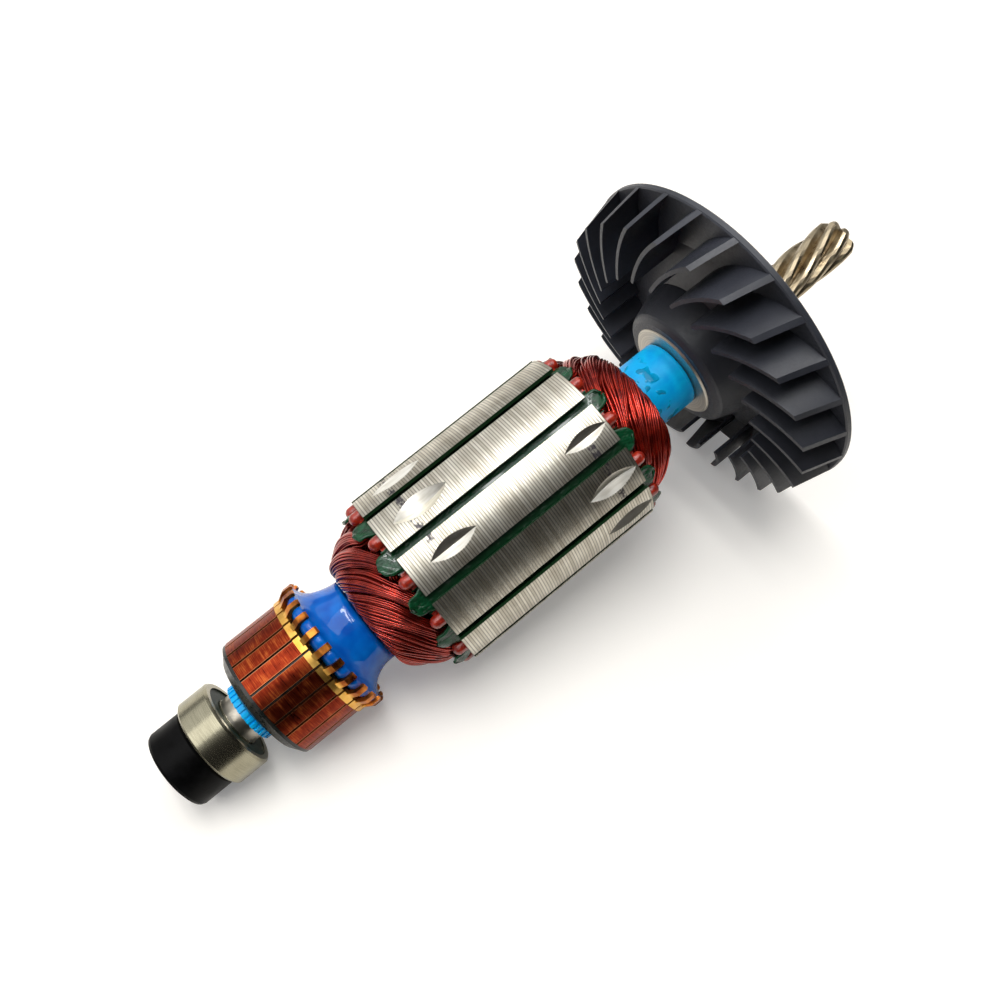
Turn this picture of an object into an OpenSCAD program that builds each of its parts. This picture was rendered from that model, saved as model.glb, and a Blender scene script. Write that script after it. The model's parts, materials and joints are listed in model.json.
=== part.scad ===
// Armature of a small universal motor, lying on the rim of its fan and on its commutator.
// Every piece is drawn about the shaft, along +Z, with the middle of the core at z = 0
// and the fan towards +Z. lay_down() then tips the whole armature onto the surface.

/* [Core] */
// Diameter of the laminated core
core_d = 35; // [34.6:0.1:36]
// Length of the stack of laminations
core_len = 40.6; // [36:0.2:44]
// Width of a slot's mouth at the core's surface
slot_mouth = 1.65; // [1.2:0.05:2.2]
// Width of a tooth between two slots
tooth_w = 3.2; // [3:0.05:3.5]
// Radius of the slots' floor
slot_floor_r = 9; // [8.8:0.1:9.3]
// Thickness of a tooth's tip beside the slot's mouth
tip_t = 0.75; // [0.6:0.05:1]
// Rise of a tooth's tip from its mouth to its flank
tip_rise = 0.55; // [0.4:0.05:0.8]

/* [Balance cuts] */
// Radius of the V-edged wheel that ground the cuts
cut_wheel_r = 12; // [9:0.5:16]
// Half of the angle of the wheel's V edge
cut_half_angle = 60; // [45:1:65]
// Depth of a usual cut
cut_depth = 1; // [0.5:0.05:1.4]
// Place of the row of cuts on the commutator's side, from the middle of the core
cut_row_front = -11.7; // [-13:0.1:-9]
// Place of the row of cuts on the fan's side, from the middle of the core
cut_row_back = 15.4; // [12:0.1:16]

/* [Shaft] */
// Diameter of the shaft through the core
shaft_d = 10; // [9.6:0.1:10.4]
// Diameter of the shaft under the commutator
front_shaft_d = 9; // [8.6:0.1:9.4]
// Diameter of the seat of the fan
fan_seat_d = 9.5; // [9.2:0.1:9.6]
// Diameter of the journal for the drive-end bearing
journal_d = 9; // [8.6:0.1:9.2]
// Length of that journal
journal_len = 10; // [8:0.5:11]
// Length of the grinding undercut between the shoulder and the journal
undercut_len = 0.5; // [0.3:0.1:0.8]
// Depth of that undercut
undercut_depth = 0.2; // [0.1:0.05:0.3]
// Length of the cone between the journal and the pinion
relief_len = 0.8; // [0.6:0.1:1.6]
// Clearance of a piece pressed or slid onto another
fit_gap = 0.02; // [0.01:0.01:0.05]

/* [Pinion] */
// Number of helical teeth
pinion_teeth = 7; // [6:1:9]
// Diameter over the tips of the teeth
pinion_d = 8.4; // [8:0.1:8.6]
// Depth of the teeth
pinion_tooth_h = 1.35; // [1:0.05:1.6]
// Length of the teeth along the shaft
pinion_len = 18.2; // [15:0.1:21]
// Angle between the teeth and the shaft
helix_angle = 26; // [10:1:30]

/* [Commutator] */
// Diameter that the brushes run on
brush_d = 23.4; // [23:0.1:23.8]
// Length of the brush track
brush_len = 10.4; // [9:0.1:12]
// Length of the moulded rim in front of the bars
rim_len = 3.2; // [2.6:0.1:3.8]
// Gap between two bars at the brush track
bar_gap = 0.42; // [0.3:0.02:0.5]
// Distance from the core to the hooked end of the bars
riser_to_core = 20; // [19:0.1:22]
// Height of the riser over the brush track
riser_step = 0.25; // [0.15:0.05:0.4]
// Length of the riser along the shaft
riser_len = 1.3; // [1:0.1:1.8]
// Width of a hook
hook_w = 1.2; // [1:0.05:1.5]
// Length of a hook past the riser
hook_len = 3.2; // [2.9:0.1:3.6]
// Thickness of a hook
hook_t = 0.7; // [0.55:0.05:0.8]

/* [Bearing] */
// Outer diameter of the ball bearing
bearing_d = 17; // [16.8:0.1:17.4]
// Bore of the ball bearing
bearing_bore = 6; // [5.8:0.1:6.2]
// Width of the ball bearing
bearing_w = 6; // [5.8:0.1:6.4]
// Diameter of the balls
ball_d = 2.8; // [2.6:0.05:2.9]
// Number of balls
ball_count = 8; // [7:1:8]
// Clearance between the balls and what they run in
ball_gap = 0.03; // [0.02:0.01:0.05]
// Distance from the bearing to the commutator's front rim
bearing_to_commutator = 3.6; // [3.2:0.1:4]

/* [Magnet ring] */
// Diameter of the ring magnet at the end of the shaft
magnet_d = 15; // [14.4:0.1:15.4]
// Length of the ring magnet
magnet_len = 6.6; // [5:0.1:7]

/* [Windings] */
// Height of the coil heads over the ends of the core
head_len = 10.6; // [10:0.1:10.8]
// Distance the coils run straight out of a slot
head_lead = 1.9; // [1.8:0.05:2.2]
// Radius of the outer coil side in a slot
outer_side_r = 13.85; // [13.7:0.05:14]
// Radius of the inner coil side in a slot
inner_side_r = 10.85; // [10.8:0.05:10.95]
// Smallest radius that the middle of a coil reaches in the heads
nose_r = 7.25; // [7.1:0.05:7.4]
// Half of the width of a coil where it sweeps over the head
ribbon_half_w = 1.75; // [1.5:0.05:1.75]
// Half of the thickness of a coil there
ribbon_half_t = 1.05; // [0.9:0.05:1.1]

/* [Insulation] */
// Thickness of the end insulators against the core
end_plate_t = 1; // [0.8:0.1:1.2]
// Height of the beads on the ends of their fingers
bead_h = 2.3; // [1.8:0.1:2.6]
// Diameter of those beads
bead_d = 2.3; // [1.8:0.1:2.6]
// Thickness of the slot liners
liner_t = 0.22; // [0.15:0.01:0.25]
// Length of a liner's cuff outside the core
cuff_len = 1.3; // [1.1:0.1:1.5]
// Thickness of the strips that close the slots
strip_t = 0.5; // [0.4:0.05:0.6]
// Length of a strip's tongue outside the core, on the commutator's side
tongue_len = 3.4; // [2.8:0.1:3.8]
// Length of its tongue on the fan's side
tongue_len_back = 2.7; // [2.4:0.1:3.8]
// Diameter of the insulating sleeve beside the fan
sleeve_d = 13.2; // [12.8:0.1:13.6]
// Distance from the core to that sleeve
core_to_sleeve = 11.1; // [11:0.1:11.6]
// Smallest diameter of the resin over the coil leads
resin_waist_d = 16.6; // [15.6:0.1:17]

/* [Fan] */
// Diameter of the fan
fan_d = 64.2; // [63:0.1:65.4]
// Distance from the core to the front face of the fan's insert
core_to_fan = 19.9; // [19:0.1:21]
// Diameter over the front corners of the blades
blade_corner_d = 60.4; // [59:0.1:61]
// Diameter at the inner ends of the blades
blade_inner_d = 41.4; // [38:0.1:43]
// Number of blades
blade_count = 25; // [21:1:27]
// Thickness of a blade
blade_t = 0.75; // [0.65:0.05:1]
// Angle that a blade sweeps from its inner end to the rim
blade_sweep = 22; // [16:0.5:26]
// Height of the blades over the rim, at their outer corners
blade_h = 7.8; // [7:0.1:8.4]
// Drop of the blades' front edges from the corners to the inner ends
blade_drop = 2; // [1:0.1:2.6]
// Thickness of the fan's moulded walls
fan_wall = 1.3; // [1.1:0.1:1.8]
// Diameter of the fan's hub
hub_d = 24; // [22:0.1:25]
// Diameter of the metal insert in the hub
insert_d = 18.8; // [17:0.1:20]
// Distance that the hub's face lies behind the insert's
insert_proud = 0.35; // [0.2:0.05:0.6]
// Distance of the blades' front corners behind the insert's face
corner_back = 2.3; // [2:0.1:2.8]
// Distance that the hub stands out of the fan's back
hub_step = 1.4; // [1:0.1:2]

/* [Hidden] */
$fn = 96;
// Smallest useful thickness, for cutters that run past a face
eps = 0.01;
// Play between insulation and what it lies against
lay_gap = 0.05;

slot_count = 12;
slot_step = 360 / slot_count;
bar_count = 2 * slot_count;
bar_step = 360 / bar_count;
core_r = core_d / 2;
core_end = core_len / 2;
// Slots and bars are turned so that a gap between two bars is lowest as the armature lies
slot_turn = bar_step / 2;
tooth_turn = slot_turn + slot_step / 2;

// Places along the shaft
riser_end = -core_end - riser_to_core;
track_end = riser_end - riser_len;
bar_front = track_end - brush_len;
rim_front = bar_front - rim_len;
bearing_back = rim_front - bearing_to_commutator;
bearing_front = bearing_back - bearing_w;
magnet_back = bearing_front - 0.3;
magnet_front = magnet_back - magnet_len;
shaft_front = magnet_front + 0.5;
sleeve_front = core_end + core_to_sleeve;
fan_front = core_end + core_to_fan;
hub_front = fan_front + insert_proud;
corner_z = fan_front + corner_back;
plate_front = corner_z + blade_h;
plate_back = plate_front + fan_wall;
hub_back = plate_back + hub_step;
journal_front = hub_back + undercut_len;
journal_end = journal_front + journal_len;
pinion_front = journal_end + relief_len;
pinion_back = pinion_front + pinion_len;

brush_r = brush_d / 2;
fan_r = fan_d / 2;

// The surface touches the fan's rim and the front edge of the commutator's bars
rim_chamfer = 0.25;
tilt = atan((fan_r - brush_r) / (plate_front + rim_chamfer - bar_front));
pinion_tip_end_r = pinion_d / 2 * 0.86;
magnet_chamfer = 0.7;
x_low = magnet_front * cos(tilt) - (magnet_d / 2 - magnet_chamfer) * sin(tilt);
x_high = pinion_back * cos(tilt) + pinion_tip_end_r * sin(tilt);
axis_h = brush_r * cos(tilt) - bar_front * sin(tilt);

coil_names = [for (i = [1 : slot_count]) str("coil_", i < 10 ? "0" : "", i)];
bar_names = [for (i = [1 : bar_count]) str("commutator_bar_", i < 10 ? "0" : "", i)];

// ---- placing -------------------------------------------------------------

// Tips the armature from its own axis onto the surface, with the fan towards +X
module lay_down() {
    translate([-(x_low + x_high) / 2, 0, axis_h])
        rotate([0, 90 - tilt, 0])
            children();
}

module between(z0, z1) {
    translate([0, 0, z0])
        linear_extrude(z1 - z0)
            children();
}

module ring_of(count, turn = 0) {
    for (i = [0 : count - 1])
        rotate([0, 0, turn + i * 360 / count])
            children();
}

module turned(points) {
    rotate_extrude()
        polygon(points);
}

// A tube with square ends
module tube(r_out, r_in, z0, z1) {
    turned([[r_in, z0], [r_out, z0], [r_out, z1], [r_in, z1]]);
}

// ---- slots ---------------------------------------------------------------

tip_top_r = core_r - tip_t;
flank_top_r = tip_top_r - tip_rise;
// Half of a slot's width at radius r, between two parallel-sided teeth
function slot_half(r) = r * tan(slot_step / 2) - tooth_w / 2 / cos(slot_step / 2);

// Outline of a slot along +X, made smaller all round by inset
function slot_outline(inset) =
    let (lo = slot_floor_r + inset,
         hi = flank_top_r - inset,
         lo_h = slot_half(slot_floor_r) - inset,
         hi_h = slot_half(flank_top_r) - inset)
    [[lo, -lo_h], [hi, -hi_h], [hi, hi_h], [lo, lo_h]];

module slot_cut() {
    polygon(slot_outline(0));
    polygon([[flank_top_r - eps, -slot_half(flank_top_r)], [tip_top_r, -slot_mouth / 2],
             [core_r + 1, -slot_mouth / 2], [core_r + 1, slot_mouth / 2],
             [tip_top_r, slot_mouth / 2], [flank_top_r - eps, slot_half(flank_top_r)]]);
}

// ---- core ----------------------------------------------------------------

// A lens-shaped cut ground into the top of the tooth along +X
module balance_cut(z, depth) {
    edge = 3 * cut_depth;
    reach = edge * tan(cut_half_angle);
    translate([core_r - depth + cut_wheel_r, 0, z])
        rotate([90, 0, 0])
            turned([[cut_wheel_r - edge, -reach], [cut_wheel_r, 0],
                    [cut_wheel_r - edge, reach]]);
}

// Teeth that are cut, counted from the lowest tooth: [tooth, place, depth]
cuts = [
    [7, cut_row_front, cut_depth * 0.98],
    [6, cut_row_front, cut_depth * 1.35],
    [5, cut_row_front - 0.2, cut_depth * 1.15],
    [7, cut_row_back + 0.4, cut_depth * 0.85],
    [8, cut_row_back - 0.3, cut_depth * 1.08],
    [9, cut_row_back, cut_depth * 1.1]
];

module core_laminations() {
    color("silver")
        difference() {
            between(-core_end, core_end)
                difference() {
                    circle(core_r);
                    circle(shaft_d / 2 + fit_gap);
                    ring_of(slot_count, slot_turn) slot_cut();
                }
            for (c = cuts)
                rotate([0, 0, tooth_turn + (c[0] - 1) * slot_step])
                    balance_cut(c[1], c[2]);
        }
}

// ---- shaft with its pinion -------------------------------------------------

pinion_root_r = pinion_d / 2 - pinion_tooth_h;
pinion_taper = 1;
twist_per_mm = tan(helix_angle) / (pinion_d / 2) * 180 / PI;

// One tooth from root to root: share of the pitch and height over the root
tooth_steps = [[0, 0], [0.12, 0.3], [0.25, 0.78], [0.41, 1], [0.59, 1], [0.75, 0.78], [0.88, 0.3]];
pinion_turn = -8;
// Rings of points along the teeth: [place, size]
pinion_rings = concat(
    [for (i = [0 : 14]) [i / 14 * (pinion_len - pinion_taper), 1]],
    [[pinion_len, 0.86]]);

module pinion() {
    step_count = len(tooth_steps);
    n = pinion_teeth * step_count;
    last = len(pinion_rings) - 1;
    points = concat(
        [for (ring = pinion_rings, i = [0 : n - 1])
            let (s = tooth_steps[i % step_count],
                 a = pinion_turn + (floor(i / step_count) + s[0]) * 360 / pinion_teeth
                     - ring[0] * twist_per_mm,
                 r = (pinion_root_r + s[1] * pinion_tooth_h) * ring[1])
            [r * cos(a), r * sin(a), pinion_front + ring[0]]],
        [[0, 0, pinion_front], [0, 0, pinion_back]]);
    sides = [for (k = [0 : last - 1], i = [0 : n - 1], half = [0, 1])
        let (a = k * n + i, b = k * n + (i + 1) % n, c = b + n, d = a + n)
        half == 0 ? [a, c, b] : [a, d, c]];
    low = len(points) - 2;
    caps = [for (i = [0 : n - 1], end = [0, 1])
        let (j = (i + 1) % n)
        end == 0 ? [low, i, j] : [low + 1, last * n + j, last * n + i]];
    polyhedron(points, concat(sides, caps));
}

module shaft() {
    color("gray") {
        seat_r = bearing_bore / 2 - fit_gap;
        front_r = front_shaft_d / 2;
        body_r = shaft_d / 2;
        turned([[0, shaft_front], [seat_r - 0.4, shaft_front], [seat_r, shaft_front + 0.4],
                [seat_r, bearing_back], [front_r, bearing_back], [front_r, -core_end - 2],
                [body_r, -core_end - 2], [body_r, fan_front], [fan_seat_d / 2, fan_front],
                [fan_seat_d / 2, hub_back], [journal_d / 2 - undercut_depth, hub_back],
                [journal_d / 2, journal_front], [journal_d / 2, journal_end], [pinion_root_r - 0.2, pinion_front],
                [pinion_root_r - 0.2, pinion_front + 1], [0, pinion_front + 1]]);
        pinion();
    }
}

// ---- insulation of the core ------------------------------------------------

collar_end = core_end + head_len - 0.6;

// Star-shaped insulator on one end of the core, with a bead on each finger
// and a collar along the shaft under the coil heads
module end_insulator() {
    collar_r = shaft_d / 2 + 0.7;
    bead_at = core_r - bead_d / 2 - 0.35;
    dome = bead_d / 2;
    color("firebrick") {
        between(core_end, core_end + end_plate_t)
            difference() {
                circle(flank_top_r - 0.6);
                circle(shaft_d / 2 + fit_gap);
                ring_of(slot_count, slot_turn) slot_cut();
            }
        ring_of(slot_count, tooth_turn)
            translate([bead_at, 0, core_end]) {
                cylinder(r = dome, h = bead_h - dome);
                translate([0, 0, bead_h - dome])
                    sphere(dome);
            }
        tube(collar_r, shaft_d / 2 + fit_gap, core_end + eps, collar_end);
    }
}

module end_insulator_back() {
    end_insulator();
}

module end_insulator_front() {
    mirror([0, 0, 1])
        end_insulator();
}

module slot_liners() {
    half = core_end + cuff_len;
    color("darkgreen")
        between(-half, half)
            ring_of(slot_count, slot_turn)
                difference() {
                    polygon(slot_outline(lay_gap));
                    polygon(slot_outline(lay_gap + liner_t));
                    translate([flank_top_r - strip_t - 4 * lay_gap, -core_r])
                        square([core_r, core_d]);
                }
}

// Strips that close the slots, with round tongues past both ends of the core
module slot_strips() {
    top = flank_top_r - 2 * lay_gap;
    half_w = slot_half(top - strip_t) - 2 * lay_gap;
    front = core_end + tongue_len - half_w;
    back = core_end + tongue_len_back - half_w;
    color("seagreen")
        ring_of(slot_count, slot_turn)
            translate([top - strip_t, 0, 0])
                rotate([0, 90, 0])
                    linear_extrude(strip_t)
                        union() {
                            translate([-back, -half_w])
                                square([back + front, 2 * half_w]);
                            translate([-back, 0])
                                circle(half_w);
                            translate([front, 0])
                                circle(half_w);
                        }
}

// ---- coils -----------------------------------------------------------------

coil_span = 5;
head_rings = 17;
coil_sides = 8;

// Middle line of a coil head in the plane through the shaft, from the outer coil side
// over the nose to the inner one: shares of the head's height and of its radial depth
head_knots = [[0, 1], [0.44, 0.80], [0.86, 0.45], [0.80, 0], [0.36, 0.2], [0, 0.53]];
knot_last = len(head_knots) - 1;
side_share = (inner_side_r - nose_r) / (outer_side_r - nose_r);

function knot(i) =
    let (k = head_knots[min(max(i, 0), knot_last)],
         rise = i < 0 ? -0.3 : i > knot_last ? -0.3 : k[0],
         share = i >= knot_last ? side_share : k[1])
    [head_lead + rise * (head_len - ribbon_half_t - head_lead) / 0.9,
     nose_r + share * (outer_side_r - nose_r)];

// Smooth curve through the knots, for q from 0 to 1: [height over the core's end, radius]
function head_line(q) =
    let (x = q * knot_last,
         i = min(floor(x), knot_last - 1),
         f = x - i,
         a = knot(i - 1), b = knot(i), c = knot(i + 1), d = knot(i + 2))
    0.5 * (2 * b + (c - a) * f + (2 * a - 5 * b + 4 * c - d) * f * f
           + (3 * b - a - 3 * c + d) * f * f * f);

function unit(v) = v / norm(v);
function blend(q, list) =
    let (x = q * (len(list) - 1), i = min(floor(x), len(list) - 2))
    list[i] + (list[i + 1] - list[i]) * (x - i);

// Half width and half thickness of the bundle along the head
width_shares = [0.77, 0.77, 1, 0.92, 0.66, 0.49, 0.43, 0.43, 0.48, 0.45];
depth_shares = [1.33, 1.24, 1.14, 0.95, 0.95, 0.95, 1.05, 1.14, 1.14, 1.19];
function half_width(q) = ribbon_half_w * blend(q, width_shares);
function half_depth(q) = ribbon_half_t * blend(q, depth_shares);

// A point of the head at share q, for side +1 (fan) or -1 (commutator)
function head_point(q, side) =
    let (m = head_line(q), a = -coil_span * slot_step * q)
    [m[1] * cos(a), m[1] * sin(a), side * (core_end + m[0])];

// The way out of the head at share q: square to its line in the plane through the shaft
function head_out(q, side) =
    let (step = 0.01,
         d = head_line(min(q + step, 1)) - head_line(max(q - step, 0)),
         n = q == 0 ? [0, 1] : q == 1 ? [0, -1] : unit([-d[1], d[0]]),
         a = -coil_span * slot_step * q)
    [n[1] * cos(a), n[1] * sin(a), side * n[0]];

// The rings of a whole coil: over the fan's head and back over the commutator's
function coil_stations() = concat(
    [for (i = [0 : head_rings - 1]) [i / (head_rings - 1), 1]],
    [for (i = [head_rings - 1 : -1 : 0]) [i / (head_rings - 1), -1]]);

function coil_ring(stations, k) =
    let (n = len(stations),
         here = stations[k],
         p = head_point(here[0], here[1]),
         before = stations[(k + n - 1) % n],
         after = stations[(k + 1) % n],
         along = unit(unit(head_point(after[0], after[1]) - p)
                      + unit(p - head_point(before[0], before[1]))),
         out = head_out(here[0], here[1]),
         up = unit(out - (out * along) * along),
         across = cross(along, up))
    [for (j = [0 : coil_sides - 1])
        let (a = (j + 0.5) * 360 / coil_sides)
        p + half_width(here[0]) * cos(a) * across + half_depth(here[0]) * sin(a) * up];

module coil() {
    stations = coil_stations();
    n = len(stations);
    points = [for (k = [0 : n - 1]) each coil_ring(stations, k)];
    faces = [for (k = [0 : n - 1], j = [0 : coil_sides - 1], half = [0, 1])
        let (a = k * coil_sides + j,
             b = k * coil_sides + (j + 1) % coil_sides,
             c = ((k + 1) % n) * coil_sides + (j + 1) % coil_sides,
             d = ((k + 1) % n) * coil_sides + j)
        half == 0 ? [a, b, c] : [a, c, d]];
    polyhedron(points, faces);
}

module coil_at(i) {
    color("brown")
        rotate([0, 0, slot_turn + i * slot_step])
            coil();
}

// ---- commutator -------------------------------------------------------------

bar_inner_r = brush_r - 3.2;
riser_r = brush_r + riser_step;
hook_r = riser_r + 0.95;

// The bent finger that holds a coil's lead, seen from the side: [radius, place]
function hook_outline() =
    let (root = riser_end + hook_t / 2,
         bend = riser_end + 1.5,
         end = riser_end + hook_len)
    [[riser_r - 1.2, riser_end - 0.4], [riser_r - 0.05, riser_end - 0.4],
     [hook_r, bend - 0.2], [hook_r, end - 0.35], [hook_r - 0.3, end],
     [hook_r - hook_t, end - 0.15], [hook_r - hook_t, bend], [riser_r - 0.75, root],
     [riser_r - 1.2, root]];

module commutator_bar(i) {
    gap_angle = bar_gap / brush_r * 180 / PI;
    color("chocolate")
        rotate([0, 0, i * bar_step + gap_angle / 2]) {
            rotate_extrude(angle = bar_step - gap_angle)
                polygon([[bar_inner_r, bar_front + 1], [brush_r - 1, bar_front],
                         [brush_r, bar_front], [brush_r, track_end], [riser_r, track_end],
                         [riser_r, riser_end], [bar_inner_r, riser_end]]);
            rotate([0, 0, (bar_step - gap_angle) / 2])
                rotate([90, 0, 0])
                    translate([0, 0, -hook_w / 2])
                        linear_extrude(hook_w)
                            polygon(hook_outline());
        }
}

// Moulded body of the commutator, with thin webs between the bars
module commutator_hub() {
    bore_r = front_shaft_d / 2 + fit_gap;
    seat_r = bar_inner_r - lay_gap;
    web_t = bar_gap * 0.55;
    color("darkslategray") {
        turned([[bore_r, rim_front], [brush_r - 6.2, rim_front], [brush_r - 2, rim_front + 1.2],
                [brush_r - 0.1, bar_front - 0.6], [brush_r - 0.1, bar_front - lay_gap],
                [brush_r - 1, bar_front - lay_gap], [seat_r, bar_front + 0.9],
                [seat_r, riser_end + 0.3], [bore_r, riser_end + 0.3]]);
        ring_of(bar_count)
            between(bar_front - lay_gap - eps, riser_end)
                translate([seat_r - 0.3, -web_t / 2])
                    square([brush_r - 0.45 - seat_r + 0.3, web_t]);
    }
}

// Resin cast over the coil leads, from the hooks to the coil heads and into their middle
module lead_resin() {
    bore_r = front_shaft_d / 2 + fit_gap;
    front = riser_end + 0.4;
    drum_r = hook_r - hook_t - 0.1;
    waist_r = resin_waist_d / 2;
    plug_r = nose_r - 1.4;
    back = -core_end - head_len - 0.2;
    plug_end = -collar_end - lay_gap;
    shoulder = riser_end + hook_len - 0.4;
    span = back - shoulder;
    color("royalblue")
        turned(concat(
            [[bore_r, front], [riser_r - 1.35, front], [drum_r, riser_end + 1.75],
             [drum_r, shoulder]],
            [for (a = [10 : 10 : 90])
                [waist_r + (drum_r - waist_r) * pow(1 - sin(a), 0.8),
                 shoulder + 0.85 * span * (1 - cos(a))]],
            [[waist_r, back], [plug_r, back], [plug_r, plug_end], [bore_r, plug_end]]));
}

// Ribbed plastic collar between the bearing and the commutator
module ribbed_collar() {
    rib_count = 30;
    outer_r = front_shaft_d / 2 + 1;
    front = bearing_back + 2.2;
    color("dodgerblue")
        between(front, rim_front - lay_gap)
            difference() {
                union() {
                    circle(outer_r - 0.25);
                    ring_of(rib_count)
                        translate([outer_r - 0.6, -0.3])
                            square([0.6, 0.6]);
                }
                circle(front_shaft_d / 2 + fit_gap);
            }
}

// ---- bearing ------------------------------------------------------------------

bearing_mid = (bearing_front + bearing_back) / 2;
pitch_r = (bearing_d + bearing_bore) / 4;
race_r = ball_d / 2 + ball_gap;
inner_land_r = pitch_r - ball_d / 2 + 0.25;
outer_land_r = pitch_r + ball_d / 2 - 0.25;
seal_t = 0.45;
ring_chamfer = 0.4;

module ball_groove() {
    translate([0, 0, bearing_mid])
        rotate_extrude()
            translate([pitch_r, 0])
                circle(race_r);
}

module bearing_inner_ring() {
    bore_r = bearing_bore / 2;
    color("lightgray")
        difference() {
            turned([[bore_r, bearing_front], [inner_land_r, bearing_front],
                    [inner_land_r, bearing_back], [bore_r, bearing_back]]);
            ball_groove();
        }
}

module bearing_outer_ring() {
    out_r = bearing_d / 2;
    step_r = outer_land_r + 0.3;
    step_t = 0.3 + seal_t;
    color("lightgray")
        difference() {
            turned([[step_r, bearing_front], [out_r - ring_chamfer, bearing_front],
                    [out_r, bearing_front + ring_chamfer], [out_r, bearing_back - ring_chamfer],
                    [out_r - ring_chamfer, bearing_back], [step_r, bearing_back],
                    [step_r, bearing_back - step_t], [outer_land_r, bearing_back - step_t],
                    [outer_land_r, bearing_front + step_t], [step_r, bearing_front + step_t]]);
            ball_groove();
        }
}

module bearing_balls() {
    color("lightgray")
        ring_of(ball_count)
            translate([pitch_r, 0, bearing_mid])
                sphere(ball_d / 2);
}

module bearing_cage() {
    half_w = 1.8;
    color("tan")
        difference() {
            tube(pitch_r + 0.6, pitch_r - 0.6, bearing_mid - half_w, bearing_mid + half_w);
            ring_of(ball_count)
                translate([pitch_r - 1.2, 0, bearing_mid])
                    rotate([0, 90, 0])
                        cylinder(r = ball_d / 2 + ball_gap, h = 2.4);
        }
}

module bearing_seal(z) {
    color("darkolivegreen")
        tube(outer_land_r + 0.3, inner_land_r + 0.1, z, z + seal_t);
}

module bearing_seal_front() {
    bearing_seal(bearing_front + 0.3);
}

module bearing_seal_back() {
    bearing_seal(bearing_back - 0.3 - seal_t);
}

module magnet_ring() {
    r = magnet_d / 2;
    bore_r = bearing_bore / 2;
    color("black")
        turned([[bore_r, magnet_front], [r - magnet_chamfer, magnet_front],
                [r - 0.3 * magnet_chamfer, magnet_front + 0.3 * magnet_chamfer],
                [r, magnet_front + magnet_chamfer], [r, magnet_back - magnet_chamfer / 2],
                [r - magnet_chamfer / 2, magnet_back], [bore_r, magnet_back]]);
}

// ---- fan -------------------------------------------------------------------------

module fan_sleeve() {
    r = sleeve_d / 2;
    bore_r = shaft_d / 2 + fit_gap;
    edge = 0.6;
    back = fan_front - lay_gap;
    color("deepskyblue")
        turned(concat(
            [[bore_r, sleeve_front], [r, sleeve_front]],
            [for (a = [0 : 30 : 90]) [r - edge + edge * cos(a), back - edge + edge * sin(a)]],
            [[bore_r, back]]));
}

module fan_insert() {
    r = insert_d / 2;
    bore_r = fan_seat_d / 2 + fit_gap;
    chamfer = 0.3;
    color("gainsboro")
        turned([[bore_r, fan_front], [r - chamfer, fan_front], [r, fan_front + chamfer],
                [r, hub_back], [bore_r, hub_back]]);
}

inner_r = blade_inner_d / 2;
corner_r = blade_corner_d / 2;
dish_r = inner_r + 1.5;
blade_turn = 13.9;

// Middle of a blade's arc in plan: it leans more the further out it is
mid_r = (inner_r + fan_r) / 2;
blade_in = [inner_r - 0.6, 0];
blade_out = fan_r * [cos(blade_sweep), sin(blade_sweep)];
blade_mid = mid_r * [cos(blade_sweep / 2), sin(blade_sweep / 2)];
chord = blade_out - blade_in;
chord_mid = (blade_out + blade_in) / 2;
chord_side = [chord[1], -chord[0]] / norm(chord);
rise = (blade_mid - chord_mid) * chord_side;
arc_r = norm(chord) * norm(chord) / (8 * rise) + rise / 2;
arc_centre = chord_mid - (arc_r - rise) * chord_side;

// One blade seen along the shaft: part of a thin ring
module blade_plan() {
    reach = norm(chord) / 2;
    along = chord / norm(chord);
    intersection() {
        translate(arc_centre)
            difference() {
                circle(arc_r + blade_t / 2);
                circle(arc_r - blade_t / 2);
            }
        polygon([chord_mid - reach * along - 3 * chord_side, chord_mid + reach * along - 3 * chord_side,
                 chord_mid + (reach + 1) * along + 3 * chord_side,
                 chord_mid - reach * along + 3 * chord_side]);
    }
}

module blades() {
    deep = plate_front + fan_wall / 2;
    intersection() {
        between(fan_front - 1, deep)
            ring_of(blade_count, blade_turn - blade_sweep)
                blade_plan();
        turned([[inner_r - 0.6, corner_z - blade_drop - 0.1], [corner_r, corner_z],
                [fan_r - 0.1, plate_front], [fan_r - 0.1, deep], [inner_r - 0.6, deep]]);
    }
}

// The moulded fan: hub, dished web and rim plate in one wall, with the blades on it
module fan() {
    hub_r = hub_d / 2;
    bore_r = insert_d / 2 + fit_gap;
    web_in = hub_r + 2.2;
    color("black") {
        turned([[bore_r, hub_front], [bore_r + 1.3, hub_front], [hub_r - 0.3, hub_front + 0.6],
                [hub_r, hub_front + 1], [web_in, plate_front - 2.6], [dish_r, plate_front],
                [fan_r - rim_chamfer, plate_front], [fan_r, plate_front + rim_chamfer],
                [fan_r, plate_back - rim_chamfer], [fan_r - rim_chamfer, plate_back],
                [dish_r - 0.6, plate_back], [web_in - 0.6, plate_back - hub_step],
                [hub_r - 0.6, plate_back - hub_step], [hub_r - 0.6, hub_back], [bore_r, hub_back]]);
        blades();
    }
}

// ---- nodes -------------------------------------------------------------------------

lay_down() shaft();
lay_down() core_laminations();
lay_down() end_insulator_front();
lay_down() end_insulator_back();
lay_down() slot_liners();
lay_down() slot_strips();
lay_down() commutator_hub();
lay_down() lead_resin();
lay_down() ribbed_collar();
lay_down() fan_sleeve();
lay_down() fan_insert();
lay_down() fan();
lay_down() magnet_ring();
lay_down() bearing_inner_ring();
lay_down() bearing_outer_ring();
lay_down() bearing_balls();
lay_down() bearing_cage();
lay_down() bearing_seal_front();
lay_down() bearing_seal_back();
for (i = [0 : slot_count - 1])
    lay_down() coil_at(i);
for (i = [0 : bar_count - 1])
    lay_down() commutator_bar(i);
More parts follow.
